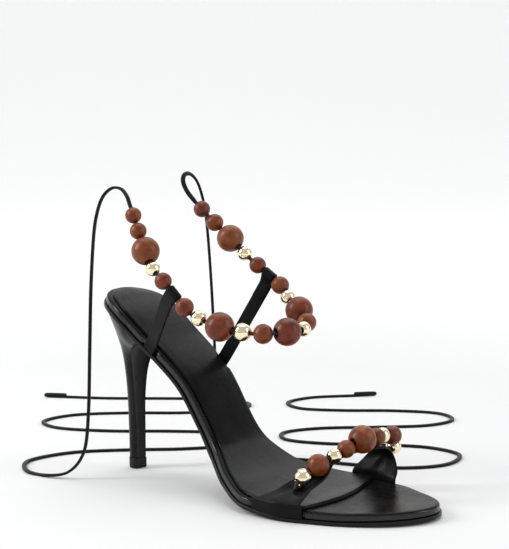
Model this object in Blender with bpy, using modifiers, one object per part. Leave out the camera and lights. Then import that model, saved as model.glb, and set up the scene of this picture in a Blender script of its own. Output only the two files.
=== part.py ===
"""Lace-up stiletto sandal for the right foot, with strands of wood and gold beads.

Metres, +Z up. The origin is the centre of the heel tip's bottom face, +X runs to the
toe and +Y to the inner side of the foot. Tables give lengths along the shoe from the
back of the footbed, in millimetres; place() turns them into the frame above.
"""

import math

import bmesh
import bpy
import numpy as np
from mathutils import Vector

NAME = "lace_up_heeled_sandal"
MM = 0.001

# Driving sizes
SOLE_LENGTH = 208.2
HEEL_RISE = 93.9
BALL_WIDTH = 82.0
HEEL_AXIS = 14.3
EDGE_THICKNESS = 6.0
OUTSOLE_THICKNESS = 2.0
GAP = 0.3
FOOTBED_THICKNESS = EDGE_THICKNESS - OUTSOLE_THICKNESS - GAP
FOOTBED_INSET = 0.8
SOCK_INSET = 3.6
SOCK_THICKNESS = 1.0
TOE_SKEW = 9.3
HEEL_ROUNDING = 0.12
TOE_ROUNDING = 0.18
TOE_FULLNESS = 2.2
CELLS_ACROSS = 6
MIDDLE_CELLS = 21
END_ANGLES = (24.0, 38.0, 52.0, 66.0, 80.0)

STRAP_THICKNESS = 1.3
STRAP_EDGE_INSET = 0.2
WING_END_GAP = 0.9
ANKLE_STRAP_WIDTH = 7.8
LOOP_RADIUS = 2.1
LOOP_LEAD = 6.0
TAIL_LEAD = 4.4
LOOP_STEPS = 9
TAIL_LENGTH = 9.0

CORD_RADIUS = 1.0
AXIS_ROUNDS = 12
BORE_CLEARANCE = 0.8
BEAD_STEPS = 10
BEAD_ARC_POINTS = 6
LARGE_BEAD = 12.0
LARGE_BEAD_STEPS = 12
LARGE_BEAD_ARC_POINTS = 8

TIE_RADIUS = 1.25
TIE_POINTS = 80
TIP_RADIUS = 1.6
TIP_LENGTH = 16.0

HEEL_TIP_HEIGHT = 6.0
HEEL_TIP_FLARE = 0.25

# Rise of the footbed's top above the forefoot: share of the sole's length, share of
# the heel's rise
PROFILE = (
    (0.00, 1.000),
    (0.08, 0.949),
    (0.20, 0.767),
    (0.32, 0.556),
    (0.45, 0.1855),
    (0.58, 0.0415),
    (0.68, 0.0085),
    (0.74, 0.000),
    (0.84, 0.000),
    (0.90, 0.0043),
    (1.00, 0.0128),
)

# Half widths of the sole: share of its length, outer and inner share of the ball's width
HALF_WIDTHS = (
    (0.00, 0.260, 0.271),
    (0.12, 0.282, 0.271),
    (0.25, 0.254, 0.2695),
    (0.40, 0.2255, 0.250),
    (0.52, 0.373, 0.327),
    (0.62, 0.479, 0.460),
    (0.70, 0.4865, 0.5145),
    (0.80, 0.434, 0.471),
    (0.90, 0.372, 0.3635),
    (1.00, 0.340, 0.3035),
)

# Front edge of the sock: share of the ball's width, share of the sole's length
SOCK_FRONT = (
    (-0.610, 0.7300),
    (-0.415, 0.7590),
    (-0.244, 0.7735),
    (-0.073, 0.7755),
    (0.098, 0.7660),
    (0.244, 0.7495),
    (0.390, 0.7275),
    (0.610, 0.6820),
)

SEAT_BACK = 1.2
SEAT_BREAST = 38.0
SEAT_HALF_WIDTH = 20.5
SEAT_INSET = 1.0
SEAT_HOLLOW = 4.0

# Heel sections, as shares: back along and breast along (of the seat's breast), each
# followed by its height (of the way from the tip to the seat), half width (of the
# seat's), angle of the breast corners from the back, hollow (of the seat's)
HEEL_SECTIONS = (
    (0.2660, 0.0000, 0.4710, 0.0000, 0.2000, 125.0, 0.075),
    (0.2605, 0.1564, 0.4710, 0.1564, 0.2050, 125.0, 0.100),
    (0.2500, 0.4018, 0.4605, 0.3847, 0.2390, 122.0, 0.150),
    (0.2290, 0.5982, 0.4710, 0.5559, 0.3366, 120.0, 0.250),
    (0.1947, 0.7272, 0.5132, 0.6473, 0.4585, 118.0, 0.400),
    (0.1368, 0.8356, 0.6053, 0.7100, 0.6440, 114.0, 0.650),
    (0.0763, 0.9212, 0.7632, 0.7443, 0.8490, 108.0, 0.900),
)
HEEL_SIDE_STEPS = 8
BREAST_STEPS = 3

# Toe strap, outer face: rear edge along, across, height; front edge along, across,
# height; dip of its middle under the beads
TOE_STRAP_ROWS = (
    (135.4, -37.4, 10.0, 160.6, -36.2, 9.8, 0.0),
    (139.6, -29.0, 12.4, 159.6, -30.0, 13.0, 0.8),
    (142.6, -22.4, 16.0, 157.8, -22.6, 15.8, 3.2),
    (146.2, -12.6, 19.2, 156.8, -10.8, 18.4, 2.8),
    (149.6, -3.8, 25.6, 154.6, -2.6, 23.4, 0.8),
    (150.8, 4.6, 28.2, 155.2, 4.6, 25.1, 0.2),
    (150.4, 16.0, 29.6, 155.3, 16.4, 25.9, 0.2),
    (151.6, 28.6, 28.9, 157.6, 29.2, 25.8, 0.0),
    (149.4, 37.0, 26.0, 158.0, 37.8, 25.2, 0.0),
    (146.0, 43.2, 23.4, 156.0, 44.2, 22.8, 0.0),
    (141.4, 45.8, 19.0, 157.6, 46.2, 18.4, 0.0),
    (137.8, 44.8, 14.4, 159.6, 45.6, 13.6, 0.0),
    (135.4, 42.0, 10.8, 160.8, 44.2, 10.0, 0.0),
)
TOE_STRAP_BASE = (132.5, 161.0)
TOE_STRAP_FAR_BASE = (134.5, 161.2)
TOE_STRAP_CELLS = 6
RIM_RISE = 1.6

# Beads on the ankle strand from its outer rear end: diameter, along, across, height
ANKLE_BEADS = (
    ("wood", 8.6, 39.7, -25.3, 142.9),
    ("wood", 8.9, 44.5, -26.6, 135.0),
    ("wood", 14.9, 51.8, -28.7, 125.1),
    ("gold", 7.8, 59.4, -31.2, 116.5),
    ("wood", 9.0, 66.5, -31.0, 110.6),
    ("wood", 9.7, 79.4, -28.9, 97.9),
    ("gold", 8.1, 87.4, -27.0, 92.8),
    ("wood", 15.1, 98.6, -23.4, 88.9),
    ("gold", 9.3, 110.6, -19.6, 86.8),
    ("wood", 10.2, 119.8, -14.4, 86.2),
    ("wood", 14.4, 127.2, -4.4, 86.8),
    ("gold", 8.0, 128.3, 7.0, 87.0),
    ("wood", 9.8, 124.2, 15.0, 89.2),
    ("wood", 14.5, 114.2, 20.9, 94.0),
    ("gold", 7.9, 104.0, 24.0, 99.8),
    ("wood", 9.5, 97.1, 26.0, 105.4),
    ("wood", 9.0, 82.3, 25.0, 115.2),
    ("gold", 8.1, 74.9, 23.0, 121.2),
    ("wood", 14.6, 65.9, 21.6, 128.9),
    ("wood", 9.4, 56.5, 19.6, 137.1),
    ("wood", 9.0, 50.1, 16.4, 144.3),
)
LOOP_AFTER = (4, 15)

# Beads on the toe strand from its outer end: diameter, along, across, height
TOE_BEADS = (
    ("gold", 8.8, 150.4, -20.6, 18.6),
    ("wood", 11.2, 153.0, -11.9, 23.6),
    ("gold", 7.8, 156.6, -3.7, 27.3),
    ("wood", 9.1, 157.6, 4.7, 29.5),
    ("wood", 14.4, 159.0, 16.2, 32.7),
    ("wood", 9.4, 158.6, 28.6, 31.8),
    ("gold", 8.2, 156.0, 37.1, 30.9),
    ("wood", 10.2, 155.2, 46.6, 29.2),
    ("gold", 8.1, 152.3, 51.9, 22.0),
)

# Last stretches of the toe strand's cord, down to the strap: along, across, height
TOE_CORD_START = ((148.2, -27.2, 14.4),)
TOE_CORD_END = ((150.6, 53.8, 14.4), (150.4, 50.6, 13.0), (150.4, 47.4, 13.0))
CORD_END = 0.6

# Route of the outer tie: along, across, height
OUTER_TIE = (
    (36.8, -24.6, 147.6),
    (33.6, -23.8, 152.6),
    (29.2, -23.8, 156.4),
    (23.8, -25.4, 156.6),
    (19.8, -28.2, 152.0),
    (17.8, -30.8, 143.0),
    (17.0, -32.8, 130.0),
    (16.4, -34.8, 102.0),
    (16.0, -36.0, 70.0),
    (15.4, -37.2, 36.0),
    (13.4, -39.2, 15.0),
    (6.0, -43.6, 4.4),
    (-7.0, -48.5, 1.5),
    (-24.0, -47.5, 1.4),
    (-41.5, -30.0, 1.4),
    (-38.0, -0.5, 1.4),
    (-18.0, 25.0, 1.4),
    (5.0, 47.5, 1.4),
    (19.0, 70.5, 1.4),
    (15.0, 90.5, 1.4),
    (-7.5, 95.0, 1.4),
    (-35.5, 78.5, 1.4),
    (-65.5, 55.0, 1.4),
    (-96.5, 41.5, 1.4),
    (-118.5, 49.0, 1.4),
    (-119.5, 74.5, 1.4),
    (-98.0, 101.5, 1.4),
    (-69.0, 126.0, 1.4),
    (-50.5, 153.5, 1.4),
    (-56.0, 175.0, 1.4),
    (-83.0, 175.5, 1.4),
    (-112.5, 154.5, 1.4),
    (-144.0, 130.0, 1.4),
    (-170.5, 115.0, 1.4),
)

# Route of the inner tie: along, across, height
INNER_TIE = (
    (46.6, 14.2, 148.8),
    (43.4, 12.1, 153.8),
    (40.6, 12.0, 158.8),
    (38.6, 15.0, 162.4),
    (37.8, 20.4, 162.8),
    (37.8, 25.8, 158.6),
    (38.0, 29.8, 150.0),
    (38.4, 32.4, 138.0),
    (38.8, 34.8, 112.0),
    (39.2, 36.8, 78.0),
    (39.6, 38.6, 40.0),
    (40.6, 41.4, 16.0),
    (43.6, 46.4, 5.0),
    (53.5, 55.5, 1.4),
    (76.0, 69.5, 1.4),
    (103.5, 77.5, 1.4),
    (131.0, 88.5, 1.4),
    (145.5, 111.5, 1.4),
    (137.0, 136.0, 1.4),
    (112.0, 140.5, 1.4),
    (84.0, 127.0, 1.4),
    (58.5, 110.5, 1.4),
    (34.5, 105.0, 1.4),
    (21.0, 120.0, 1.4),
    (30.0, 143.5, 1.4),
    (54.0, 167.5, 1.4),
    (75.5, 191.5, 1.4),
    (78.5, 215.5, 1.4),
    (59.5, 228.0, 1.4),
    (32.0, 217.0, 1.4),
    (5.0, 196.5, 1.4),
    (-19.5, 185.0, 1.4),
    (-39.0, 195.0, 1.4),
    (-38.5, 219.0, 1.4),
    (-20.0, 243.5, 1.4),
)

# Base colour, roughness, metallic
FINISHES = {
    "black_leather": ((0.012, 0.012, 0.013, 1.0), 0.38, 0.0),
    "charcoal_leather": ((0.020, 0.020, 0.021, 1.0), 0.42, 0.0),
    "black_rubber": ((0.015, 0.015, 0.016, 1.0), 0.55, 0.0),
    "brown_wood": ((0.13, 0.035, 0.018, 1.0), 0.35, 0.0),
    "gold": ((0.95, 0.78, 0.45, 1.0), 0.15, 1.0),
    "black_cord": ((0.010, 0.010, 0.010, 1.0), 0.6, 0.0),
}


def clear_scene():
    for item in list(bpy.data.objects):
        bpy.data.objects.remove(item, do_unlink=True)


def new_collection(name):
    group = bpy.data.collections.new(name)
    bpy.context.scene.collection.children.link(group)
    return group


def material(finish):
    """Returns a new material of the named finish, one for each part."""
    color, roughness, metallic = FINISHES[finish]
    result = bpy.data.materials.new(finish)
    result.use_nodes = True
    shader = result.node_tree.nodes["Principled BSDF"]
    shader.inputs["Base Color"].default_value = color
    shader.inputs["Roughness"].default_value = roughness
    shader.inputs["Metallic"].default_value = metallic
    result.diffuse_color = color
    return result


def place(along, across, height):
    return Vector(((along - HEEL_AXIS) * MM, across * MM, height * MM))


def smooth_value(table, column, at):
    """Reads a column of a table at a value of its first column, without overshoot."""
    xs = np.array([row[0] for row in table], float)
    ys = np.array([row[column] for row in table], float)
    steps = np.diff(xs)
    slopes = np.diff(ys) / steps
    tangents = np.zeros(len(xs))
    for i in range(1, len(xs) - 1):
        before, after = slopes[i - 1], slopes[i]
        if before * after > 0.0:
            near = 2.0 * steps[i] + steps[i - 1]
            far = steps[i] + 2.0 * steps[i - 1]
            tangents[i] = (near + far) / (near / before + far / after)
    tangents[0] = slopes[0]
    tangents[-1] = slopes[-1]
    at = min(max(at, xs[0]), xs[-1])
    i = min(int(np.searchsorted(xs, at, side="right")) - 1, len(steps) - 1)
    t = (at - xs[i]) / steps[i]
    start = (1.0 + 2.0 * t) * (1.0 - t) ** 2 * ys[i] + t * (1.0 - t) ** 2 * steps[i] * tangents[i]
    end = t * t * (3.0 - 2.0 * t) * ys[i + 1] + t * t * (t - 1.0) * steps[i] * tangents[i + 1]
    return float(start + end)


def top_height(along):
    return EDGE_THICKNESS + HEEL_RISE * smooth_value(PROFILE, 1, along / SOLE_LENGTH)


def top_normal(along):
    """Returns the footbed's upward normal in the plane of its length and height."""
    step = 0.5
    low = min(max(along - step, 0.0), SOLE_LENGTH - 2.0 * step)
    rise = top_height(low + 2.0 * step) - top_height(low)
    length = math.hypot(rise, 2.0 * step)
    return -rise / length, 2.0 * step / length


def end_rounding(share):
    heel = max(0.0, HEEL_ROUNDING - share) / HEEL_ROUNDING
    toe = max(0.0, share - 1.0 + TOE_ROUNDING) / TOE_ROUNDING
    return math.sqrt(max(0.0, 1.0 - heel**2)) * math.sqrt(max(0.0, 1.0 - toe**TOE_FULLNESS))


def toe_skew(share):
    return TOE_SKEW * max(0.0, (share - 0.55) / 0.45) ** 2


def edge_across(along, side, inset=0.0):
    """Returns the place across of the sole's edge, side -1 outer and +1 inner."""
    share = (along - inset) / (SOLE_LENGTH - 2.0 * inset)
    share = min(max(share, 0.0), 1.0)
    half = BALL_WIDTH * smooth_value(HALF_WIDTHS, 1 if side < 0 else 2, share) - inset
    return toe_skew(share) + side * half * end_rounding(share)


def layer_point(along, across, depth):
    """Returns a point below the footbed's top by a depth along its normal."""
    normal_along, normal_up = top_normal(along)
    return place(along - depth * normal_along, across, top_height(along) - depth * normal_up)


def mesh_object(name, points, faces, group, finish):
    mesh = bpy.data.meshes.new(name)
    mesh.from_pydata([tuple(p) for p in points], [], faces)
    mesh.update()
    part = bpy.data.objects.new(name, mesh)
    group.objects.link(part)
    if finish:
        mesh.materials.append(material(finish))
    return part


def shade_smooth(part, angle=math.radians(40.0)):
    part.data.shade_smooth()
    part.data.set_sharp_from_angle(angle=angle)


def add_solidify(part, thickness, offset, even=True):
    shell = part.modifiers.new("Thickness", "SOLIDIFY")
    shell.thickness = thickness * MM
    shell.offset = offset
    shell.use_even_offset = even
    shell.use_quality_normals = even


def cut_with(part, cutter):
    cut = part.modifiers.new("Cut " + cutter.name, "BOOLEAN")
    cut.operation = "DIFFERENCE"
    cut.solver = "EXACT"
    cut.object = cutter


def add_cutter(name, points, faces, group):
    cutter = mesh_object(name, points, faces, group, None)
    fix_normals(cutter)
    cutter.hide_render = True
    cutter.display_type = "WIRE"
    return cutter


def grid_faces(rows, columns):
    faces = []
    for i in range(rows - 1):
        for j in range(columns - 1):
            low = i * columns + j
            faces.append((low, low + columns, low + columns + 1, low + 1))
    return faces


def sole_row(kind, value, inset):
    """Returns one row of places along and across, from the outer edge to the inner one.

    The rows of the round ends are set by an angle from the shoe's tip, the others by
    their place along, so every layer of the sole has its rows at the same places.
    """
    turn = math.radians(value) if kind != "middle" else math.pi / 2.0
    if kind == "heel":
        along = HEEL_ROUNDING * SOLE_LENGTH * (1.0 - math.cos(turn)) + inset * math.cos(turn)
    elif kind == "toe":
        reach = math.cos(turn) ** (2.0 / TOE_FULLNESS)
        along = SOLE_LENGTH * (1.0 - TOE_ROUNDING * (1.0 - reach)) - inset * math.cos(turn)
    else:
        along = value * SOLE_LENGTH
    share = along / SOLE_LENGTH
    skew = toe_skew(share)
    outer = (BALL_WIDTH * smooth_value(HALF_WIDTHS, 1, share) - inset) * math.sin(turn)
    inner = (BALL_WIDTH * smooth_value(HALF_WIDTHS, 2, share) - inset) * math.sin(turn)
    row = []
    for j in range(CELLS_ACROSS + 1):
        across = -outer + (outer + inner) * j / CELLS_ACROSS
        bulge = 0.0
        if kind != "middle" and value == END_ANGLES[0]:
            offset = abs(2.0 * j / CELLS_ACROSS - 1.0) * math.sin(turn)
            bulge = (math.sqrt(1.0 - offset**2) - math.cos(turn)) / (1.0 - math.cos(turn))
            tip = inset if kind == "heel" else SOLE_LENGTH - inset
            bulge *= tip - along
        row.append((along + bulge, skew + across))
    return row


def sole_rows(inset):
    rows = [sole_row("heel", angle, inset) for angle in END_ANGLES]
    start, end = HEEL_ROUNDING, 1.0 - TOE_ROUNDING
    for i in range(MIDDLE_CELLS + 1):
        rows.append(sole_row("middle", start + (end - start) * i / MIDDLE_CELLS, inset))
    rows += [sole_row("toe", angle, inset) for angle in reversed(END_ANGLES)]
    return rows


def sole_layer(name, inset, depth, thickness, group, finish):
    """Makes one layer of the sole: a grid within the outline, then thickened."""
    rows = sole_rows(inset)
    points = [layer_point(along, across, depth) for row in rows for along, across in row]
    part = mesh_object(name, points, grid_faces(len(rows), CELLS_ACROSS + 1), group, finish)
    split = part.modifiers.new("Split", "TRIANGULATE")
    split.quad_method = "FIXED"
    add_solidify(part, thickness, -1.0, even=False)
    shade_smooth(part)
    return part


def prism(outline):
    """Returns the points and faces of an upright prism on a plan outline, in millimetres."""
    floor, ceiling = -10.0, 30.0
    count = len(outline)
    points = [place(x, y, floor) for x, y in outline] + [place(x, y, ceiling) for x, y in outline]
    faces = [tuple(range(count))[::-1], tuple(range(count, 2 * count))]
    for i in range(count):
        j = (i + 1) % count
        faces.append((i, j, count + j, count + i))
    return points, faces


def wing_cutter(name, side, base, group):
    """Makes the cutter of the footbed's recess for one foot of the toe strap."""
    steps = 6
    inset = STRAP_EDGE_INSET + STRAP_THICKNESS + GAP
    start, end = base[0] - WING_END_GAP, base[1] + WING_END_GAP
    stations = [start + (end - start) * i / steps for i in range(steps + 1)]
    inside = [(x, edge_across(x, side) - side * inset) for x in stations]
    outside = [(x, edge_across(x, side) + side * 3.0) for x in reversed(stations)]
    points, faces = prism(inside + outside)
    return add_cutter(name, points, faces, group)


def fix_normals(part):
    work = bmesh.new()
    work.from_mesh(part.data)
    bmesh.ops.recalc_face_normals(work, faces=work.faces)
    work.to_mesh(part.data)
    work.free()


def sock_cutter(group):
    rear = [(along * SOLE_LENGTH, across * BALL_WIDTH) for across, along in SOCK_FRONT]
    ahead = 1.1 * SOLE_LENGTH
    outline = rear + [(ahead, 0.7 * BALL_WIDTH), (ahead, -0.7 * BALL_WIDTH)]
    points, faces = prism(outline)
    return add_cutter("sock_front_cutter", points, faces, group)


def box_cutter(name, centre, axes, sizes, group):
    """Makes a cutter box from its centre, three axes and three half sizes."""
    cutter = add_cutter(name, [], [], group)
    work = bmesh.new()
    bmesh.ops.create_cube(work, size=2.0)
    for vert in work.verts:
        x, y, z = vert.co
        vert.co = centre + axes[0] * sizes[0] * x + axes[1] * sizes[1] * y + axes[2] * sizes[2] * z
    work.to_mesh(cutter.data)
    work.free()
    return cutter


def heel_section(shares):
    """Returns a heel section in millimetres from its row of shares."""
    back, back_height, breast, breast_height, half, corner, hollow = shares
    foot = HEEL_TIP_HEIGHT + GAP
    climb = HEEL_RISE - foot
    return (
        back * SEAT_BREAST,
        foot + back_height * climb,
        breast * SEAT_BREAST,
        foot + breast_height * climb,
        half * SEAT_HALF_WIDTH,
        corner,
        hollow * SEAT_HOLLOW,
    )


def heel_ring(section, seat):
    """Returns one ring of the heel: outer side, round the back, inner side, breast."""
    back, back_height, breast, breast_height, half, corner, hollow = section
    ring = []
    corner = math.radians(corner)
    reach = (breast - back) / (1.0 - math.cos(corner))
    for i in range(2 * HEEL_SIDE_STEPS + 1):
        angle = corner * (1.0 - i / HEEL_SIDE_STEPS)
        along = back + reach * (1.0 - math.cos(angle))
        across = -half * math.sin(angle)
        ring.append([along, across])
    for i in range(1, BREAST_STEPS + 1):
        share = 1.0 - 2.0 * i / (BREAST_STEPS + 1)
        start = ring[2 * HEEL_SIDE_STEPS]
        ring.append([start[0] - hollow * (1.0 - share**2), start[1] * share])
    points = []
    for along, across in ring:
        if seat:
            limit = abs(edge_across(along, -1 if across < 0 else 1, SEAT_INSET))
            if abs(across) > limit or along < HEEL_ROUNDING * SOLE_LENGTH * 1.2:
                across = math.copysign(min(abs(across) + 3.0, limit), across) if across else 0.0
            points.append(layer_point(along, across, EDGE_THICKNESS + GAP))
        else:
            share = (along - back) / (breast - back)
            points.append(place(along, across, back_height + share * (breast_height - back_height)))
    return points


def heel(group):
    """Makes the heel: rings from the tip to the seat, closed by strips across."""
    rings = [heel_ring(heel_section(shares), False) for shares in HEEL_SECTIONS]
    seat = (SEAT_BACK, 0.0, SEAT_BREAST, 0.0, SEAT_HALF_WIDTH, 100.0, SEAT_HOLLOW)
    rings.append(heel_ring(seat, True))
    part = loft("heel", rings, group, "black_leather")
    return part


def loft(name, rings, group, finish):
    """Joins rings of equal counts and closes each end with strips from side to side."""
    count = len(rings[0])
    points = [p for ring in rings for p in ring]
    faces = []
    for level in range(len(rings) - 1):
        for i in range(count):
            j = (i + 1) % count
            low = level * count
            faces.append((low + i, low + j, low + count + j, low + count + i))
    sides = 2 * HEEL_SIDE_STEPS
    for level, flip in ((0, False), (len(rings) - 1, True)):
        first = level * count
        for i in range(HEEL_SIDE_STEPS):
            near, far = first + i, first + sides - i
            if i == HEEL_SIDE_STEPS - 1:
                face = (near, near + 1, far)
            else:
                face = (near, near + 1, far - 1, far)
            faces.append(face[::-1] if flip else face)
        breast = [first] + [first + k for k in range(count - 1, sides, -1)] + [first + sides]
        faces.append(tuple(breast) if flip else tuple(breast[::-1]))
    part = mesh_object(name, points, faces, group, finish)
    fix_normals(part)
    shade_smooth(part)
    return part


def heel_tip(group):
    """Makes the wear tip: the heel's lowest section, a little wider, chamfered below."""
    base = heel_section(HEEL_SECTIONS[0])
    rings = []
    for height, grow in ((0.0, -0.15), (0.5, HEEL_TIP_FLARE), (HEEL_TIP_HEIGHT, HEEL_TIP_FLARE)):
        section = (base[0] - grow, height, base[2] + grow, height, base[4] + grow, base[5], base[6])
        rings.append(heel_ring(section, False))
    return loft("heel_tip", rings, group, "black_rubber")


def strap_foot(side, base):
    """Returns the two lowest rows of a toe strap wing, on the sole's edge."""
    rows = []
    for depth in (FOOTBED_THICKNESS, -RIM_RISE):
        row = []
        for j in range(TOE_STRAP_CELLS + 1):
            along = base[0] + (base[1] - base[0]) * j / TOE_STRAP_CELLS
            across = edge_across(along, side) - side * STRAP_EDGE_INSET
            row.append(layer_point(along, across, depth))
        rows.append(row)
    return rows


def toe_strap(group):
    """Makes the toe strap: one band from edge to edge of the sole, over the toes."""
    rows = strap_foot(-1, TOE_STRAP_BASE)
    for rear_x, rear_y, rear_z, front_x, front_y, front_z, dip in TOE_STRAP_ROWS:
        rear = place(rear_x, rear_y, rear_z)
        front = place(front_x, front_y, front_z)
        row = []
        for j in range(TOE_STRAP_CELLS + 1):
            share = j / TOE_STRAP_CELLS
            sink = Vector((0.0, 0.0, dip * MM * 4.0 * share * (1.0 - share)))
            row.append(rear.lerp(front, share) - sink)
        rows.append(row)
    rows += strap_foot(1, TOE_STRAP_FAR_BASE)[::-1]
    points = [p for row in rows for p in row]
    faces = [face[::-1] for face in grid_faces(len(rows), TOE_STRAP_CELLS + 1)]
    part = mesh_object("toe_strap", points, faces, group, "black_leather")
    add_solidify(part, STRAP_THICKNESS, -1.0)
    shade_smooth(part)
    return part


def ankle_strap(name, side, foot_along, hold, hold_axis, group, cutter_group):
    """Makes one ankle strap: up from the sole's edge and folded round the strand's cord."""
    half = ANKLE_STRAP_WIDTH / 2.0 * MM
    edge = edge_across(foot_along, side) - side * (STRAP_EDGE_INSET + STRAP_THICKNESS / 2.0)
    foot = layer_point(foot_along, edge, FOOTBED_THICKNESS)
    rim = layer_point(foot_along, edge, -RIM_RISE)
    normal_along, normal_up = top_normal(foot_along)
    sole_axis = Vector((normal_up, 0.0, -normal_along))
    rise = (hold - rim).normalized()
    outward = rise.cross(hold_axis).normalized()
    if outward.y * side < 0.0:
        outward = -outward
    climb = hold_axis.cross(outward).normalized()
    if climb.z < 0.0:
        climb = -climb
    radius = LOOP_RADIUS * MM
    path = [(foot, sole_axis), (rim, sole_axis)]
    path.append((hold + outward * radius - climb * LOOP_LEAD * MM, hold_axis))
    for i in range(LOOP_STEPS + 1):
        angle = math.pi * i / LOOP_STEPS
        offset = outward * math.cos(angle) + climb * math.sin(angle)
        path.append((hold + offset * radius, hold_axis))
    inner = (LOOP_RADIUS - STRAP_THICKNESS - GAP) * MM
    path.append((hold + outward * inner - climb * TAIL_LEAD * MM, hold_axis))
    slope = (hold + outward * radius - climb * LOOP_LEAD * MM - rim).normalized()
    tail = hold + outward * inner - climb * LOOP_LEAD * MM
    path.append((tail - slope * 0.2 * MM, hold_axis))
    path.append((tail - slope * TAIL_LENGTH * MM, hold_axis))
    points = []
    for centre, axis in path:
        points += [centre - axis * half, centre + axis * half]
    faces = grid_faces(len(path), 2)
    if side < 0:
        faces = [face[::-1] for face in faces]
    part = mesh_object(name, points, faces, group, "black_leather")
    add_solidify(part, STRAP_THICKNESS, 0.0)
    shade_smooth(part)
    centre = (foot + rim) / 2.0
    axes = (sole_axis, Vector((0.0, 1.0, 0.0)), Vector((normal_along, 0.0, normal_up)))
    across = STRAP_THICKNESS / 2.0 + GAP
    shift = Vector((0.0, side * across, 0.0)) * MM
    sizes = (half + GAP * MM, 2.0 * across * MM, (FOOTBED_THICKNESS + RIM_RISE) * MM)
    cutter = box_cutter(name + "_cutter", centre + shift, axes, sizes, cutter_group)
    return part, cutter


def bead_places(table):
    return [place(row[2], row[3], row[4]) for row in table]


def bead_axes(centres, radii):
    """Returns each bead's bore direction, so that the mouths of neighbours meet."""
    count = len(centres)
    axes = [(centres[min(i + 1, count - 1)] - centres[max(i - 1, 0)]).normalized() for i in range(count)]
    for _ in range(AXIS_ROUNDS):
        joints = []
        for i in range(count - 1):
            leaving = centres[i] + axes[i] * radii[i]
            entering = centres[i + 1] - axes[i + 1] * radii[i + 1]
            joints.append((leaving + entering) / 2.0)
        joints = [2.0 * centres[0] - joints[0]] + joints + [2.0 * centres[-1] - joints[-1]]
        axes = [(joints[i + 1] - joints[i]).normalized() for i in range(count)]
    return axes


def bead_profile(radius, arc_points):
    """Returns the half section of a bored ball: down its outside and up its bore."""
    bore = (CORD_RADIUS + BORE_CLEARANCE) * MM
    rim = math.asin(bore / radius)
    profile = []
    for i in range(arc_points):
        angle = rim + (math.pi - 2.0 * rim) * i / (arc_points - 1)
        profile.append((radius * math.sin(angle), 0.0, radius * math.cos(angle)))
    return profile


def bead(name, kind, radius, centre, axis, group):
    big = 2.0 * radius > LARGE_BEAD * MM
    profile = bead_profile(radius, LARGE_BEAD_ARC_POINTS if big else BEAD_ARC_POINTS)
    count = len(profile)
    mesh = bpy.data.meshes.new(name)
    mesh.from_pydata(profile, [(i, (i + 1) % count) for i in range(count)], [])
    finish = "gold" if kind == "gold" else "brown_wood"
    mesh.materials.append(material(finish))
    part = bpy.data.objects.new(name, mesh)
    group.objects.link(part)
    part.location = centre
    part.rotation_mode = "QUATERNION"
    part.rotation_quaternion = axis.to_track_quat("Z", "Y")
    turn = part.modifiers.new("Turn", "SCREW")
    turn.steps = LARGE_BEAD_STEPS if big else BEAD_STEPS
    turn.render_steps = turn.steps
    turn.use_merge_vertices = True
    turn.merge_threshold = 0.00001
    turn.use_smooth_shade = True
    return part


def tube(name, points, radius, group, finish):
    curve = bpy.data.curves.new(name, "CURVE")
    curve.dimensions = "3D"
    curve.bevel_depth = radius * MM
    curve.bevel_resolution = 2
    curve.use_fill_caps = True
    spline = curve.splines.new("POLY")
    spline.points.add(len(points) - 1)
    for target, point in zip(spline.points, points):
        target.co = (*point, 1.0)
    curve.materials.append(material(finish))
    part = bpy.data.objects.new(name, curve)
    group.objects.link(part)
    return part


def strand(prefix, table, loops, first, last, group):
    """Makes a strand: its bored beads and the cord that runs straight through each."""
    centres = bead_places(table)
    radii = [row[1] / 2.0 * MM for row in table]
    axes = bead_axes(centres, radii)
    for i, row in enumerate(table):
        bead(f"{prefix}_bead_{i + 1:02d}", row[0], radii[i], centres[i], axes[i], group)
    route = []
    for i in range(len(centres) - 1):
        leaving = centres[i] + axes[i] * radii[i]
        entering = centres[i + 1] - axes[i + 1] * radii[i + 1]
        if i in loops:
            route += [leaving, entering]
        else:
            route.append((leaving + entering) / 2.0)
    start = centres[0] - axes[0] * (radii[0] + CORD_END * MM)
    end = centres[-1] + axes[-1] * (radii[-1] + CORD_END * MM)
    route = [place(*row) for row in first] + [start] + route + [end] + [place(*row) for row in last]
    tube(prefix + "_cord", route, CORD_RADIUS, group, "black_cord")
    return centres, radii, axes


def smooth_route(rows, count):
    """Returns evenly spaced points along a smooth curve through a route's own points."""
    knots = [place(*row) for row in rows]
    knots = [2.0 * knots[0] - knots[1]] + knots + [2.0 * knots[-1] - knots[-2]]
    dense = []
    samples = 16
    for i in range(1, len(knots) - 2):
        before, start, end, after = knots[i - 1 : i + 3]
        for k in range(samples):
            t = k / samples
            pull_out = (end - before) / 2.0
            pull_in = (after - start) / 2.0
            dense.append(
                start * (2.0 * t**3 - 3.0 * t**2 + 1.0)
                + pull_out * (t**3 - 2.0 * t**2 + t)
                + end * (3.0 * t**2 - 2.0 * t**3)
                + pull_in * (t**3 - t**2)
            )
    dense.append(knots[-2])
    lengths = [0.0]
    for first, second in zip(dense, dense[1:]):
        lengths.append(lengths[-1] + (second - first).length)
    points = []
    for k in range(count):
        target = lengths[-1] * k / (count - 1)
        i = min(max(int(np.searchsorted(lengths, target)) - 1, 0), len(dense) - 2)
        share = (target - lengths[i]) / (lengths[i + 1] - lengths[i])
        points.append(dense[i].lerp(dense[i + 1], share))
    return points


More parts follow.
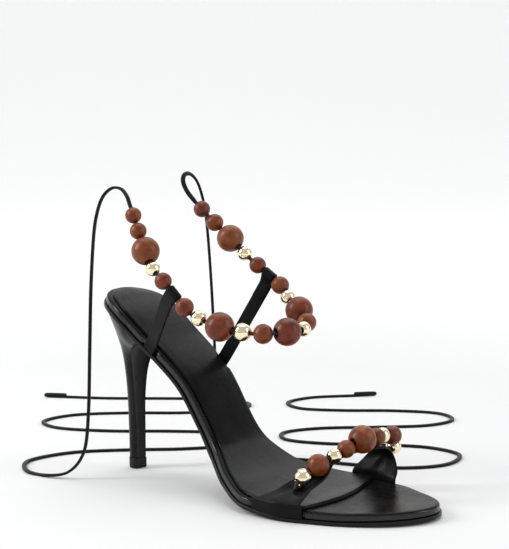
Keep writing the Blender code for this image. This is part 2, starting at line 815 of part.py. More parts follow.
def tie(name, rows, group):
    """Makes a tie lying loose on the floor and the leather tip on its end."""
    points = smooth_route(rows, TIE_POINTS)
    tube(name, points, TIE_RADIUS, group, "black_leather")
    direction = (points[-1] - points[-2]).normalized()
    half = TIP_LENGTH / 2.0 * MM
    profile = (
        (0.0, 0.0, half),
        (0.55 * TIP_RADIUS * MM, 0.0, half),
        (TIP_RADIUS * MM, 0.0, 0.8 * half),
        (TIP_RADIUS * MM, 0.0, -0.8 * half),
        (0.8 * TIP_RADIUS * MM, 0.0, -half),
        (0.0, 0.0, -half),
    )
    mesh = bpy.data.meshes.new(name + "_tip")
    mesh.from_pydata(profile, [(i, i + 1) for i in range(len(profile) - 1)], [])
    mesh.materials.append(material("black_leather"))
    part = bpy.data.objects.new(name + "_tip", mesh)
    group.objects.link(part)
    part.location = points[-1] + direction * (half + GAP * MM)
    part.location.z = (TIP_RADIUS + 0.1) * MM
    part.rotation_mode = "QUATERNION"
    part.rotation_quaternion = direction.to_track_quat("Z", "Y")
    turn = part.modifiers.new("Turn", "SCREW")
    turn.steps = 8
    turn.render_steps = 8
    turn.use_merge_vertices = True
    turn.merge_threshold = 0.00001
    turn.use_smooth_shade = True


def build():
    clear_scene()
    group = new_collection(NAME)
    cutters = new_collection(NAME + "_cutters")

    outsole_depth = FOOTBED_THICKNESS + GAP
    sock_depth = -GAP - SOCK_THICKNESS
    sole_layer("outsole", 0.0, outsole_depth, OUTSOLE_THICKNESS, group, "black_rubber")
    footbed = sole_layer("footbed", FOOTBED_INSET, 0.0, FOOTBED_THICKNESS, group, "black_leather")
    sock = sole_layer("sock", SOCK_INSET, sock_depth, SOCK_THICKNESS, group, "charcoal_leather")
    cut_with(sock, sock_cutter(cutters))
    heel(group)
    heel_tip(group)

    toe_strap(group)
    cut_with(footbed, wing_cutter("wing_cutter_outer", -1, TOE_STRAP_BASE, cutters))
    cut_with(footbed, wing_cutter("wing_cutter_inner", 1, TOE_STRAP_FAR_BASE, cutters))

    centres, radii, axes = strand("ankle_strand", ANKLE_BEADS, LOOP_AFTER, (), (), group)
    feet = (("ankle_strap_outer", -1, 46.8), ("ankle_strap_inner", 1, 61.0))
    for (name, side, foot_along), i in zip(feet, LOOP_AFTER):
        leaving = centres[i] + axes[i] * radii[i]
        entering = centres[i + 1] - axes[i + 1] * radii[i + 1]
        hold_axis = (entering - leaving).normalized()
        if hold_axis.x < 0.0:
            hold_axis = -hold_axis
        hold = (leaving + entering) / 2.0
        _, cutter = ankle_strap(name, side, foot_along, hold, hold_axis, group, cutters)
        cut_with(footbed, cutter)

    strand("toe_strand", TOE_BEADS, (), TOE_CORD_START, TOE_CORD_END, group)
    tie("tie_outer", OUTER_TIE, group)
    tie("tie_inner", INNER_TIE, group)


build()
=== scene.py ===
"""Studio scene of a lace-up stiletto sandal with strands of wood and gold beads.

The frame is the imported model's, in metres: the origin is the centre of the heel tip's
bottom face, +X runs to the toe and +Y to the inner side of the foot. The tables hold
millimetres along the shoe from the back of the footbed, and place() turns them round.
"""

import math

import bmesh
import bpy
import numpy as np
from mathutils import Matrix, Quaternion, Vector


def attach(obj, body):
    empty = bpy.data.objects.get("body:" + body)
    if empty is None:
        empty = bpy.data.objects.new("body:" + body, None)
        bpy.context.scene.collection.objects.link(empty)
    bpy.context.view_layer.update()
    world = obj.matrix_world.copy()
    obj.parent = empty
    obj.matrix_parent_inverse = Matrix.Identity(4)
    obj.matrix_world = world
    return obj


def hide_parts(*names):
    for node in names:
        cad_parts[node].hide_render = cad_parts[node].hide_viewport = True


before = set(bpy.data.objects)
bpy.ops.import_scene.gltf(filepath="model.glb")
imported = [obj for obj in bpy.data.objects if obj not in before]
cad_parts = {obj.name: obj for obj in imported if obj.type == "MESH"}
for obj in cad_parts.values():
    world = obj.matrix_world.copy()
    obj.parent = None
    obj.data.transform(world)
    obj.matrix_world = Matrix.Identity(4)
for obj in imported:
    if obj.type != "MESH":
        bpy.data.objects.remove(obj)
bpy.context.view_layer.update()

MM = 0.001
ROOT = "root"
UP = Vector((0.0, 0.0, 1.0))

# Camera of the photograph
CAMERA_PLACE = (0.6286, -0.6213, 0.2051)
CAMERA_TARGET = (0.0738, 0.0157, 0.1114)
CAMERA_ROLL = -0.355
CAMERA_LENS = 105.85
LIGHT_TARGET = Vector((0.07, 0.0, 0.07))

# Sole
SOLE_LENGTH = 208.2
HEEL_AXIS = 14.3
EDGE_THICKNESS = 6.0
OUTSOLE_THICKNESS = 2.0
GAP = 0.3
FOOTBED_THICKNESS = EDGE_THICKNESS - OUTSOLE_THICKNESS - GAP
FOOTBED_INSET = 0.8
SOCK_INSET = 3.6
SOCK_THICKNESS = 1.0
SOCK_CROWN = 0.5
SOCK_EDGE_RADIUS = 0.8
SOCK_MEAN_FRONT = 157.0
SOCK_ROWS = 200
TOE_SKEW = 9.3
HEEL_ROUNDING = 0.12
TOE_ROUNDING = 0.18
TOE_FULLNESS = 2.2
SOLE_ROWS = 300
SOLE_COLUMNS = 26

# Straps
STRAP_THICKNESS = 1.3
STRAP_EDGE_STEPS = 5
STRAP_EDGE_INSET = 0.2
ANKLE_STRAP_WIDTH = 7.8
ANKLE_FEET = {"ankle_strap_outer": (-1, 46.8), "ankle_strap_inner": (1, 61.0)}
CLIMB_STEPS = 14
LOOP_STEPS = 18
LOOP_RADIUS = 2.1
LOOP_LEAD = 6.0
TAIL_LEAD = 4.4
TAIL_LENGTH = 9.0
RIM_RISE = 1.6
RECESS = 1.0
RECESS_FADE = 1.2

# Beads, cords and ties
CORD_RADIUS = 1.0
CORD_END = 0.6
LOOP_AFTER = {"ankle_strap_outer": 4, "ankle_strap_inner": 15}
TONE_LOW = 0.75
TONE_HIGH = 1.15
GRAIN_SCALE = 200.0
GRAIN_SHIFT = 4.0
WOOD_BORE = 0.30
GOLD_BORE = 0.46
TIE_WIDTH = 2.5
TIE_THICKNESS = 1.5
TIE_CORNER = 0.55
TIE_MOUTH_SHARE = 0.62
TIE_DEPTH = 0.5
TIE_FLOOR = 1.4
TIE_SAMPLES = 14
TIP_RADIUS = 1.6

# Heel tip
HEEL_TIP_HEIGHT = 6.0
HEEL_TIP_FLARE = 0.25

# Leathers: their dye, and the paler colour of their wear
STRAP_BLACK = ((0.0045, 0.0045, 0.005), (0.009, 0.009, 0.0095))
FOOTBED_BLACK = ((0.0035, 0.0035, 0.0038), (0.007, 0.007, 0.0073))
SOCK_BLACK = ((0.0045, 0.0045, 0.0047), (0.009, 0.009, 0.0092))
PLAIN_BLACK = ((0.005, 0.005, 0.0055), (0.010, 0.010, 0.0105))

# Top of the footbed's edge: share of the sole's length, height
PROFILE = (
    (0.00, 99.9),
    (0.08, 95.1),
    (0.20, 78.0),
    (0.32, 58.2),
    (0.45, 23.4),
    (0.58, 9.9),
    (0.68, 6.8),
    (0.74, 6.0),
    (0.84, 6.0),
    (0.90, 6.4),
    (1.00, 7.2),
)

# Half widths of the sole: share of the length, outer side, inner side
HALF_WIDTHS = (
    (0.00, 21.3, 22.2),
    (0.12, 23.1, 22.2),
    (0.25, 20.8, 22.1),
    (0.40, 18.5, 20.5),
    (0.52, 30.6, 26.8),
    (0.62, 39.3, 37.7),
    (0.70, 39.9, 42.2),
    (0.80, 35.6, 38.6),
    (0.90, 30.5, 29.8),
    (1.00, 27.9, 24.9),
)

# Front edge of the sock: place across, place along
SOCK_FRONT = (
    (-50.0, 152.0),
    (-34.0, 158.0),
    (-20.0, 161.0),
    (-6.0, 161.5),
    (8.0, 159.5),
    (20.0, 156.0),
    (32.0, 151.5),
    (50.0, 142.0),
)

# Heel sections: back along, back height, breast along, breast height, half width,
# angle of the breast corners from the back, hollow of the breast
HEEL_SECTIONS = (
    (10.1, 6.3, 17.9, 6.3, 4.1, 125.0, 0.3),
    (9.9, 20.0, 17.9, 20.0, 4.2, 125.0, 0.4),
    (9.5, 41.5, 17.5, 40.0, 4.9, 122.0, 0.6),
    (8.7, 58.7, 17.9, 55.0, 6.9, 120.0, 1.0),
    (7.4, 70.0, 19.5, 63.0, 9.4, 118.0, 1.6),
    (5.2, 79.5, 23.0, 68.5, 13.2, 114.0, 2.6),
    (2.9, 87.0, 29.0, 71.5, 17.4, 108.0, 3.6),
)
SEAT = (1.2, 0.0, 38.0, 0.0, 20.5, 100.0, 4.0)
SEAT_INSET = 1.0
HEEL_SIDE_STEPS = 24
BREAST_STEPS = 11
HEEL_SAMPLES = 9

# Toe strap, outer face: rear edge along, across, height; front edge along, across,
# height; dip of its middle under the beads
TOE_STRAP_ROWS = (
    (135.4, -37.4, 10.0, 160.6, -36.2, 9.8, 0.0),
    (139.6, -29.0, 12.4, 159.6, -30.0, 13.0, 0.8),
    (142.6, -22.4, 16.0, 157.8, -22.6, 15.8, 3.2),
    (146.2, -12.6, 19.2, 156.8, -10.8, 18.4, 2.8),
    (149.6, -3.8, 25.6, 154.6, -2.6, 23.4, 0.8),
    (150.8, 4.6, 28.2, 155.2, 4.6, 25.1, 0.2),
    (150.4, 16.0, 29.6, 155.3, 16.4, 25.9, 0.2),
    (151.6, 28.6, 28.9, 157.6, 29.2, 25.8, 0.0),
    (149.4, 37.0, 26.0, 158.0, 37.8, 25.2, 0.0),
    (146.0, 43.2, 23.4, 156.0, 44.2, 22.8, 0.0),
    (141.4, 45.8, 19.0, 157.6, 46.2, 18.4, 0.0),
    (137.8, 44.8, 14.4, 159.6, 45.6, 13.6, 0.0),
    (135.4, 42.0, 10.8, 160.8, 44.2, 10.0, 0.0),
)
TOE_STRAP_BASE = (132.5, 161.0)
TOE_STRAP_FAR_BASE = (134.5, 161.2)
TOE_STRAP_COLUMNS = 28
TOE_STRAP_SAMPLES = 10
TOE_STRAP_ROUNDS = 16

# Its pleats: gathering point, how many, depth, reach, side
PLEATS = (
    ((150.0, -20.5, 18.0), 7.0, 0.8, 17.0, -1),
    ((151.0, 46.0, 20.0), 6.0, 0.5, 16.0, 1),
)

# Last stretches of the toe strand's cord, down to the strap
TOE_CORD_START = ((149.2, -25.0, 13.4),)
TOE_CORD_END = ((150.6, 53.8, 14.4), (150.4, 50.6, 13.0), (150.4, 47.4, 13.0))

# Route of the outer tie: along, across, height as it falls, then along, across on the floor
OUTER_FALL = (
    (36.8, -24.6, 147.6),
    (33.6, -23.8, 152.6),
    (29.2, -23.8, 156.4),
    (23.8, -25.4, 156.6),
    (19.8, -28.2, 152.0),
    (17.8, -30.8, 143.0),
    (17.0, -32.8, 130.0),
    (16.4, -34.8, 102.0),
    (16.0, -36.0, 70.0),
    (15.4, -37.2, 36.0),
    (13.4, -39.2, 15.0),
    (6.0, -43.6, 4.4),
    (-7.0, -48.5, 1.5),
)
OUTER_CURVES = (
    (-24.0, -47.5), (-41.5, -30.0), (-38.0, -0.5), (-18.0, 25.0),
    (5.0, 47.5), (19.0, 70.5), (15.0, 90.5), (-7.5, 95.0),
    (-35.5, 78.5), (-65.5, 55.0), (-96.5, 41.5), (-118.5, 49.0),
    (-119.5, 74.5), (-98.0, 101.5), (-69.0, 126.0), (-50.5, 153.5),
    (-56.0, 175.0), (-83.0, 175.5), (-112.5, 154.5), (-144.0, 130.0),
    (-170.5, 115.0),
)

# Route of the inner tie, in the same way
INNER_FALL = (
    (46.6, 14.2, 148.8),
    (43.4, 12.1, 153.8),
    (40.6, 12.0, 158.8),
    (38.6, 15.0, 162.4),
    (37.8, 20.4, 162.8),
    (37.8, 25.8, 158.6),
    (38.0, 29.8, 150.0),
    (38.4, 32.4, 138.0),
    (38.8, 34.8, 112.0),
    (39.2, 36.8, 78.0),
    (39.6, 38.6, 40.0),
    (40.6, 41.4, 16.0),
    (43.6, 46.4, 5.0),
)
INNER_CURVES = (
    (53.5, 55.5), (76.0, 69.5), (103.5, 77.5), (131.0, 88.5),
    (145.5, 111.5), (137.0, 136.0), (112.0, 140.5), (84.0, 127.0),
    (58.5, 110.5), (34.5, 105.0), (21.0, 120.0), (30.0, 143.5),
    (54.0, 167.5), (75.5, 191.5), (78.5, 215.5), (59.5, 228.0),
    (32.0, 217.0), (5.0, 196.5), (-19.5, 185.0), (-39.0, 195.0),
    (-38.5, 219.0), (-20.0, 243.5),
)


# The sole's form

def place(along, across, height):
    return Vector(((along - HEEL_AXIS) * MM, across * MM, height * MM))


def smooth_value(table, column, at):
    """Reads a column of a table at a value of its first column, without overshoot."""
    xs = [row[0] for row in table]
    ys = [row[column] for row in table]
    steps = [b - a for a, b in zip(xs, xs[1:])]
    slopes = [(b - a) / step for a, b, step in zip(ys, ys[1:], steps)]
    tangents = [slopes[0]]
    for i in range(1, len(xs) - 1):
        before, after = slopes[i - 1], slopes[i]
        near = 2.0 * steps[i] + steps[i - 1]
        far = steps[i] + 2.0 * steps[i - 1]
        same_way = before * after > 0.0
        tangents.append((near + far) / (near / before + far / after) if same_way else 0.0)
    tangents.append(slopes[-1])
    at = min(max(at, xs[0]), xs[-1])
    i = 0
    while i < len(steps) - 1 and at >= xs[i + 1]:
        i += 1
    t = (at - xs[i]) / steps[i]
    start = (1.0 + 2.0 * t) * (1.0 - t) ** 2 * ys[i] + t * (1.0 - t) ** 2 * steps[i] * tangents[i]
    end = t * t * (3.0 - 2.0 * t) * ys[i + 1] + t * t * (t - 1.0) * steps[i] * tangents[i + 1]
    return start + end


def top_height(along):
    return smooth_value(PROFILE, 1, along / SOLE_LENGTH)


def top_normal(along):
    """Returns the footbed's upward normal in the plane of its length and height."""
    step = 0.5
    low = min(max(along - step, 0.0), SOLE_LENGTH - 2.0 * step)
    rise = top_height(low + 2.0 * step) - top_height(low)
    length = math.hypot(rise, 2.0 * step)
    return -rise / length, 2.0 * step / length


def end_rounding(share):
    heel = max(0.0, HEEL_ROUNDING - share) / HEEL_ROUNDING
    toe = max(0.0, share - 1.0 + TOE_ROUNDING) / TOE_ROUNDING
    return math.sqrt(max(0.0, 1.0 - heel**2)) * math.sqrt(max(0.0, 1.0 - toe**TOE_FULLNESS))


def toe_skew(share):
    return TOE_SKEW * max(0.0, (share - 0.55) / 0.45) ** 2


def edge_across(along, side, inset=0.0):
    """Returns the place across of the sole's edge, side -1 outer and +1 inner."""
    share = min(max((along - inset) / (SOLE_LENGTH - 2.0 * inset), 0.0), 1.0)
    half = smooth_value(HALF_WIDTHS, 1 if side < 0 else 2, share) - inset
    return toe_skew(share) + side * half * end_rounding(share)


def layer_point(along, across, depth):
    """Returns a point below the footbed's top by a depth along its normal."""
    normal_along, normal_up = top_normal(along)
    return place(along - depth * normal_along, across, top_height(along) - depth * normal_up)


def smoothstep(low, high, value):
    t = min(max((value - low) / (high - low), 0.0), 1.0)
    return t * t * (3.0 - 2.0 * t)


# Mesh helpers

def new_object(name, data):
    """Returns a new object of the scene that holds the data."""
    item = bpy.data.objects.new(name, data)
    bpy.context.scene.collection.objects.link(item)
    return item


def new_piece(name, mesh):
    """Returns a new piece of the shoe, attached to the root."""
    piece = new_object(name + "_skin", mesh)
    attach(piece, ROOT)
    return piece


def new_mesh(name, points, edges=(), faces=()):
    mesh = bpy.data.meshes.new(name)
    mesh.from_pydata([tuple(point) for point in points], edges, faces)
    return mesh


def close_mesh(mesh, sharp):
    """Merges a mesh's doubles, turns its normals outwards and shades it smooth.

    Edges sharper than an angle in degrees stay sharp.
    """
    work = bmesh.new()
    work.from_mesh(mesh)
    bmesh.ops.remove_doubles(work, verts=work.verts, dist=0.00001)
    bmesh.ops.dissolve_degenerate(work, edges=work.edges, dist=0.000005)
    bmesh.ops.recalc_face_normals(work, faces=work.faces)
    work.to_mesh(mesh)
    work.free()
    mesh.shade_smooth()
    mesh.set_sharp_from_angle(angle=math.radians(sharp))


def add_piece(name, points, faces, material):
    """Makes a closed piece in place of the frame's node of that name."""
    mesh = new_mesh(name, points, faces=faces)
    mesh.materials.append(material)
    close_mesh(mesh, 45.0)
    piece = new_piece(name, mesh)
    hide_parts(name)
    return piece


def loop_faces(rows, count, close=True):
    """Returns the quads between closed loops of points, and a cap on each end."""
    faces = []
    for i in range(rows - 1):
        for j in range(count):
            k = (j + 1) % count
            low = i * count
            faces.append((low + j, low + k, low + count + k, low + count + j))
    if close:
        faces.append(tuple(range(count))[::-1])
        faces.append(tuple(range((rows - 1) * count, rows * count)))
    return faces


def smooth_between(rows, samples):
    """Adds smooth in-between rows: each row is an array of points."""
    rows = [np.array(row, float) for row in rows]
    rows = [2.0 * rows[0] - rows[1]] + rows + [2.0 * rows[-1] - rows[-2]]
    dense = []
    for i in range(1, len(rows) - 2):
        before, start, end, after = rows[i - 1 : i + 3]
        for k in range(samples):
            t = k / samples
            pull_out = (end - before) / 2.0
            pull_in = (after - start) / 2.0
            dense.append(
                start * (2.0 * t**3 - 3.0 * t**2 + 1.0)
                + pull_out * (t**3 - 2.0 * t**2 + t)
                + end * (3.0 * t**2 - 2.0 * t**3)
                + pull_in * (t**3 - t**2)
            )
    dense.append(rows[-2])
    return dense


def soften(grid, rounds):
    """Eases the bends between a grid's rows; the two end rows stay."""
    for _ in range(rounds):
        eased = grid.copy()
        eased[1:-1] = 0.25 * grid[:-2] + 0.5 * grid[1:-1] + 0.25 * grid[2:]
        grid = eased
    return grid


def unit(vectors):
    return vectors / np.maximum(np.linalg.norm(vectors, axis=2, keepdims=True), 1e-12)


def grid_normals(grid):
    """Returns the unit normals of a grid of points, rows by columns."""
    return unit(np.cross(np.gradient(grid, axis=0), np.gradient(grid, axis=1)))


def rolled(centre, rise, reach):
    """Returns the points round a strap's rolled edge, between its two faces."""
    turns = [math.pi * step / STRAP_EDGE_STEPS for step in range(1, STRAP_EDGE_STEPS)]
    return [centre + rise * math.cos(turn) + reach * math.sin(turn) for turn in turns]


def band(name, grid, outward, material):
    """Makes a leather strap with rolled edges from the points of its outer face."""
    radius = STRAP_THICKNESS * MM / 2.0
    normals = grid_normals(grid) * outward * radius
    over = unit(np.gradient(grid, axis=1)) * radius
    grid[:, 0] += over[:, 0]
    grid[:, -1] -= over[:, -1]
    points = []
    for centre, rise, reach in zip(grid - normals, normals, over):
        row = [*(centre + rise), *rolled(centre[-1], rise[-1], reach[-1])]
        row += [*(centre - rise)[::-1], *rolled(centre[0], -rise[0], -reach[0])]
        points += row
    return add_piece(name, points, loop_faces(len(grid), len(row)), material)


def place_rows(rows):
    return [place(*row) for row in rows]


def agreeing(direction, guide):
    """Returns the direction, turned round where it points away from the guide."""
    return -direction if direction.dot(guide) < 0.0 else direction


# Materials

def new_material(name, color, roughness, metallic=0.0, **sockets):
    """Returns a new material, its node tree and its shader; sockets are named with _."""
    material = bpy.data.materials.new(name)
    material.use_nodes = True
    tree = material.node_tree
    shader = tree.nodes["Principled BSDF"]
    shader.inputs["Base Color"].default_value = (*color, 1.0)
    shader.inputs["Roughness"].default_value = roughness
    shader.inputs["Metallic"].default_value = metallic
    for socket, value in sockets.items():
        shader.inputs[socket.replace("_", " ")].default_value = value
    return material, tree, shader


def add_node(tree, kind, values=(), **settings):
    """Adds a node, sets its properties, and sets the sockets named in values."""
    node = tree.nodes.new(kind)
    for key, value in settings.items():
        setattr(node, key, value)
    for socket, value in dict(values).items():
        node.inputs[socket].default_value = value
    return node


def ramp(tree, value, stops):
    """Returns the colour that a value has on a ramp of positions and colours."""
    node = add_node(tree, "ShaderNodeValToRGB")
    elements = node.color_ramp.elements
    elements[0].position, elements[0].color = stops[0][0], (*stops[0][1], 1.0)
    elements[1].position, elements[1].color = stops[-1][0], (*stops[-1][1], 1.0)
    for position, color in stops[1:-1]:
        elements.new(position).color = (*color, 1.0)
    tree.links.new(value, node.inputs["Fac"])
    return node.outputs["Color"]


def bump(tree, height, strength, distance, below=None):
    """Returns the normal of a relief, on top of the relief below it where there is one."""
    node = add_node(tree, "ShaderNodeBump", {"Strength": strength, "Distance": distance})
    tree.links.new(height, node.inputs["Height"])
    if below is not None:
        tree.links.new(below, node.inputs["Normal"])
    return node.outputs["Normal"]


def noise(tree, where, scale, detail, roughness=0.5):
    """Returns a noise value at a place of the material."""
    values = {"Scale": scale, "Detail": detail, "Roughness": roughness}
    node = add_node(tree, "ShaderNodeTexNoise", values)
    tree.links.new(where, node.inputs["Vector"])
    return node.outputs["Fac"]


def map_range(tree, value, start, end, low, high):
    """Returns a value that runs from low to high where the given one runs from start to end."""
    spans = {"From Min": start, "From Max": end, "To Min": low, "To Max": high}
    node = add_node(tree, "ShaderNodeMapRange", spans)
    tree.links.new(value, node.inputs["Value"])
    return node.outputs["Result"]


def multiplied(tree, share, base, tint):
    """Returns a colour tinted by another one's colour output, by a share."""
    mix = add_node(tree, "ShaderNodeMix", {"Factor": share}, data_type="RGBA", blend_type="MULTIPLY")
    tree.links.new(base, mix.inputs["A"])
    tree.links.new(tint, mix.inputs["B"])
    return mix.outputs["Result"]


def leather(name, colors, roughness, grain=0.45, relief=0.05, shine=0.13, edge_shine=None):
    """Smooth leather: pores and creases in the bump, pale and dull patches of wear.

    The grain is the width of its pores in millimetres. With an edge_shine, the faces that
    don't point up shine by that much.
    """
    color, pale = colors
    material, tree, shader = new_material(name, color, roughness, Specular_IOR_Level=shine)
    link = tree.links.new
    where = add_node(tree, "ShaderNodeTexCoord")
    pores = add_node(tree, "ShaderNodeTexVoronoi", {"Scale": 1.0 / (grain * MM)}, feature="SMOOTH_F1")
    pores.inputs["Smoothness"].default_value = 0.6
    link(where.outputs["Object"], pores.inputs["Vector"])
    fine = noise(tree, where.outputs["Object"], 0.5 / (grain * MM), 4.0)
    broad = noise(tree, where.outputs["Object"], 55.0, 3.0, 0.55)
    link(ramp(tree, broad, ((0.35, color), (0.75, pale))), shader.inputs["Base Color"])
    gloss = map_range(tree, broad, 0.3, 0.7, roughness - 0.05, roughness + 0.07)
    link(gloss, shader.inputs["Roughness"])
    normal = bump(tree, pores.outputs["Distance"], relief * 4.0, 0.00012)
    normal = bump(tree, fine, relief * 3.0, 0.0002, normal)
    normal = bump(tree, broad, relief * 3.0, 0.002, normal)
    link(normal, shader.inputs["Normal"])
    if edge_shine is not None:
        facing = add_node(tree, "ShaderNodeSeparateXYZ")
        link(where.outputs["Normal"], facing.inputs["Vector"])
        sheen = map_range(tree, facing.outputs["Z"], 0.3, 0.7, edge_shine, shine)
        link(sheen, shader.inputs["Specular IOR Level"])
    return material


def turned_wood():
    """Reddish brown wood with fine year rings, under a satin varnish."""
    varnish = {"Specular_IOR_Level": 0.3, "Coat_Weight": 0.1, "Coat_Roughness": 0.15}
    material, tree, shader = new_material("turned_wood", (0.17, 0.05, 0.026), 0.38, **varnish)
    link = tree.links.new
    where = add_node(tree, "ShaderNodeAttribute", attribute_name="grain")
    tone = add_node(tree, "ShaderNodeAttribute", attribute_name="tone")
    waves = {"Scale": 2.3, "Distortion": 5.0, "Detail": 4.0, "Detail Scale": 1.6}
    rings = add_node(tree, "ShaderNodeTexWave", waves, wave_type="RINGS", rings_direction="X")
    stretch = add_node(tree, "ShaderNodeMapping", {"Scale": (1.5, 16.0, 16.0)})
    for node in (rings, stretch):
        link(where.outputs["Vector"], node.inputs["Vector"])
    fibre = noise(tree, stretch.outputs["Vector"], 2.4, 5.0, 0.65)
    patches = noise(tree, where.outputs["Vector"], 1.3, 2.0)
    browns = ((0.0, (0.155, 0.035, 0.011)), (0.5, (0.190, 0.044, 0.014)), (1.0, (0.225, 0.056, 0.019)))
    fibre_shades = ((0.3, (0.42, 0.36, 0.34)), (0.62, (1.0, 1.0, 1.0)))
    patch_shades = ((0.32, (0.62, 0.55, 0.55)), (0.5, (1.0, 1.0, 1.0)), (0.7, (1.45, 1.35, 1.2)))
    color = ramp(tree, rings.outputs["Fac"], browns)
    color = multiplied(tree, 0.55, color, ramp(tree, fibre, fibre_shades))
    color = multiplied(tree, 0.8, color, ramp(tree, patches, patch_shades))
    toned = add_node(tree, "ShaderNodeHueSaturation", {"Saturation": 1.04})
    link(map_range(tree, tone.outputs["Fac"], TONE_LOW, TONE_HIGH, 0.491, 0.508), toned.inputs["Hue"])
    link(tone.outputs["Fac"], toned.inputs["Value"])
    link(color, toned.inputs["Color"])
    link(toned.outputs["Color"], shader.inputs["Base Color"])
    link(bump(tree, fibre, 0.12, 0.0002), shader.inputs["Normal"])
    return material


def polished_gold():
    """Pale gold plate with fine rubbing marks and slight dimples."""
    material, tree, shader = new_material("polished_gold", (0.99, 0.87, 0.6), 0.1, 1.0)
    where = add_node(tree, "ShaderNodeTexCoord")
    marks = noise(tree, where.outputs["Object"], 900.0, 4.0)
    swell = noise(tree, where.outputs["Object"], 260.0, 1.0)
    tree.links.new(map_range(tree, marks, 0.35, 0.7, 0.07, 0.16), shader.inputs["Roughness"])
    tree.links.new(bump(tree, swell, 0.2, 0.0003), shader.inputs["Normal"])
    return material


def waxed_cord():
    """Black waxed cord with a fine twist."""
    material, tree, shader = new_material("waxed_cord", (0.01, 0.01, 0.01), 0.5)
    where = add_node(tree, "ShaderNodeTexCoord")
    waves = {"Scale": 330.0, "Distortion": 1.0}
    twist = add_node(tree, "ShaderNodeTexWave", waves, bands_direction="DIAGONAL")
    tree.links.new(where.outputs["Object"], twist.inputs["Vector"])
    tree.links.new(bump(tree, twist.outputs["Fac"], 0.5, 0.0002), shader.inputs["Normal"])
    return material


def hard_rubber():
    """Black rubber of the heel tip, with a fine moulded speckle."""
    black = (0.008, 0.008, 0.008)
    material, tree, shader = new_material("hard_rubber", black, 0.5, Specular_IOR_Level=0.2)
    where = add_node(tree, "ShaderNodeTexCoord")
    speckle = noise(tree, where.outputs["Object"], 2200.0, 3.0)
    tree.links.new(bump(tree, speckle, 0.25, 0.0001), shader.inputs["Normal"])
    return material


# Camera, light and stage

def set_camera():
    camera = new_object("camera", bpy.data.cameras.new("camera"))
    bpy.context.scene.camera = camera
    camera.data.lens = CAMERA_LENS
    camera.data.sensor_width = 36.0
    camera.data.clip_start = 0.01
    camera.location = CAMERA_PLACE
    look = Vector(CAMERA_TARGET) - camera.location
    turn = look.to_track_quat("-Z", "Y") @ Quaternion((0.0, 0.0, 1.0), math.radians(CAMERA_ROLL))
    camera.rotation_mode = "QUATERNION"
    camera.rotation_quaternion = turn


def softbox(name, spot, size, power):
    light = bpy.data.lights.new(name, "AREA")
    light.shape = "RECTANGLE"
    light.size, light.size_y = size
    light.energy = power
    lamp = new_object(name, light)
    lamp.location = spot
    lamp.rotation_mode = "QUATERNION"
    lamp.rotation_quaternion = (LIGHT_TARGET - Vector(spot)).to_track_quat("-Z", "Y")


def set_light():
    """Lights the studio: a broad sun as its ceiling, three softboxes and a weak sky."""
    ceiling = bpy.data.lights.new("ceiling_light", "SUN")
    ceiling.energy = 1.2
    ceiling.angle = math.radians(50.0)
    lamp = new_object("ceiling_light", ceiling)
    lamp.rotation_euler = (math.radians(-14.0), math.radians(-16.0), 0.0)
    softbox("key_light", (-0.75, -0.85, 0.75), (0.35, 0.8), 11.0)
    softbox("fill_light", (1.2, 0.5, 0.6), (0.5, 0.9), 4.0)
    softbox("rear_light", (-0.1, 0.85, 0.85), (0.6, 0.5), 1.0)
    world = bpy.data.worlds.new("studio")
    bpy.context.scene.world = world
    world.use_nodes = True
    sky = world.node_tree.nodes["Background"]
    sky.inputs["Color"].default_value = (0.97, 0.98, 1.0, 1.0)
    sky.inputs["Strength"].default_value = 0.57
    bpy.context.scene.view_settings.view_transform = "Standard"


def pale_floor():
    """Matte white paper; away from the shoe, where the lamps fall off, it glows."""
    glow = {"Specular_IOR_Level": 0.2, "Emission_Color": (1.0, 1.0, 0.998, 1.0)}
    material, tree, shader = new_material("pale_floor", (0.745, 0.745, 0.743), 0.8, **glow)
    where = add_node(tree, "ShaderNodeTexCoord")
    reach = add_node(tree, "ShaderNodeVectorMath", operation="LENGTH")
    tree.links.new(where.outputs["Object"], reach.inputs[0])
    strength = map_range(tree, reach.outputs["Value"], 0.35, 1.3, 0.0, 0.355)
    tree.links.new(strength, shader.inputs["Emission Strength"])
    return material


def add_stage():
    """Makes a pale floor that bends up into a backdrop behind the shoe."""
    away = Vector((-0.755, 0.656, 0.0))
    beside = Vector((away.y, -away.x, 0.0))
    front, bend, radius, height, half_width = -3.0, 1.6, 0.9, 3.5, 4.0
    section = [(front, 0.0), (bend, 0.0)]
    for step in range(1, 17):
        turn = math.pi / 2.0 * step / 16
        section.append((bend + radius * math.sin(turn), radius * (1.0 - math.cos(turn))))
    section.append((bend + radius, height))
    points = []
    for distance, rise in section:
        middle = away * distance + UP * rise
        points += [middle - beside * half_width, middle + beside * half_width]
    faces = [(2 * i, 2 * i + 1, 2 * i + 3, 2 * i + 2) for i in range(len(section) - 1)]
    mesh = new_mesh("floor", points, faces=faces)
    mesh.shade_smooth()
    mesh.materials.append(pale_floor())
    new_object("floor", mesh)


# Sole

def recess(along, side):
    """Returns how far the footbed's edge is drawn in below a strap, in millimetres."""
    spans = [TOE_STRAP_BASE if side < 0 else TOE_STRAP_FAR_BASE]
    half = ANKLE_STRAP_WIDTH / 2.0
    spans += [(foot - half, foot + half) for which, foot in ANKLE_FEET.values() if which == side]
    depth = 0.0
    for start, end in spans:
        rise = smoothstep(start - RECESS_FADE, start - 0.2, along)
        fall = smoothstep(end + 0.2, end + RECESS_FADE, along)
        depth = max(depth, RECESS * rise * (1.0 - fall))
    return depth


def across_at(along, v, inset):
    """Returns the place across at a share v of the width, from outer to inner edge."""
    return edge_across(along, -1, inset) * (1.0 - v) + edge_across(along, 1, inset) * v


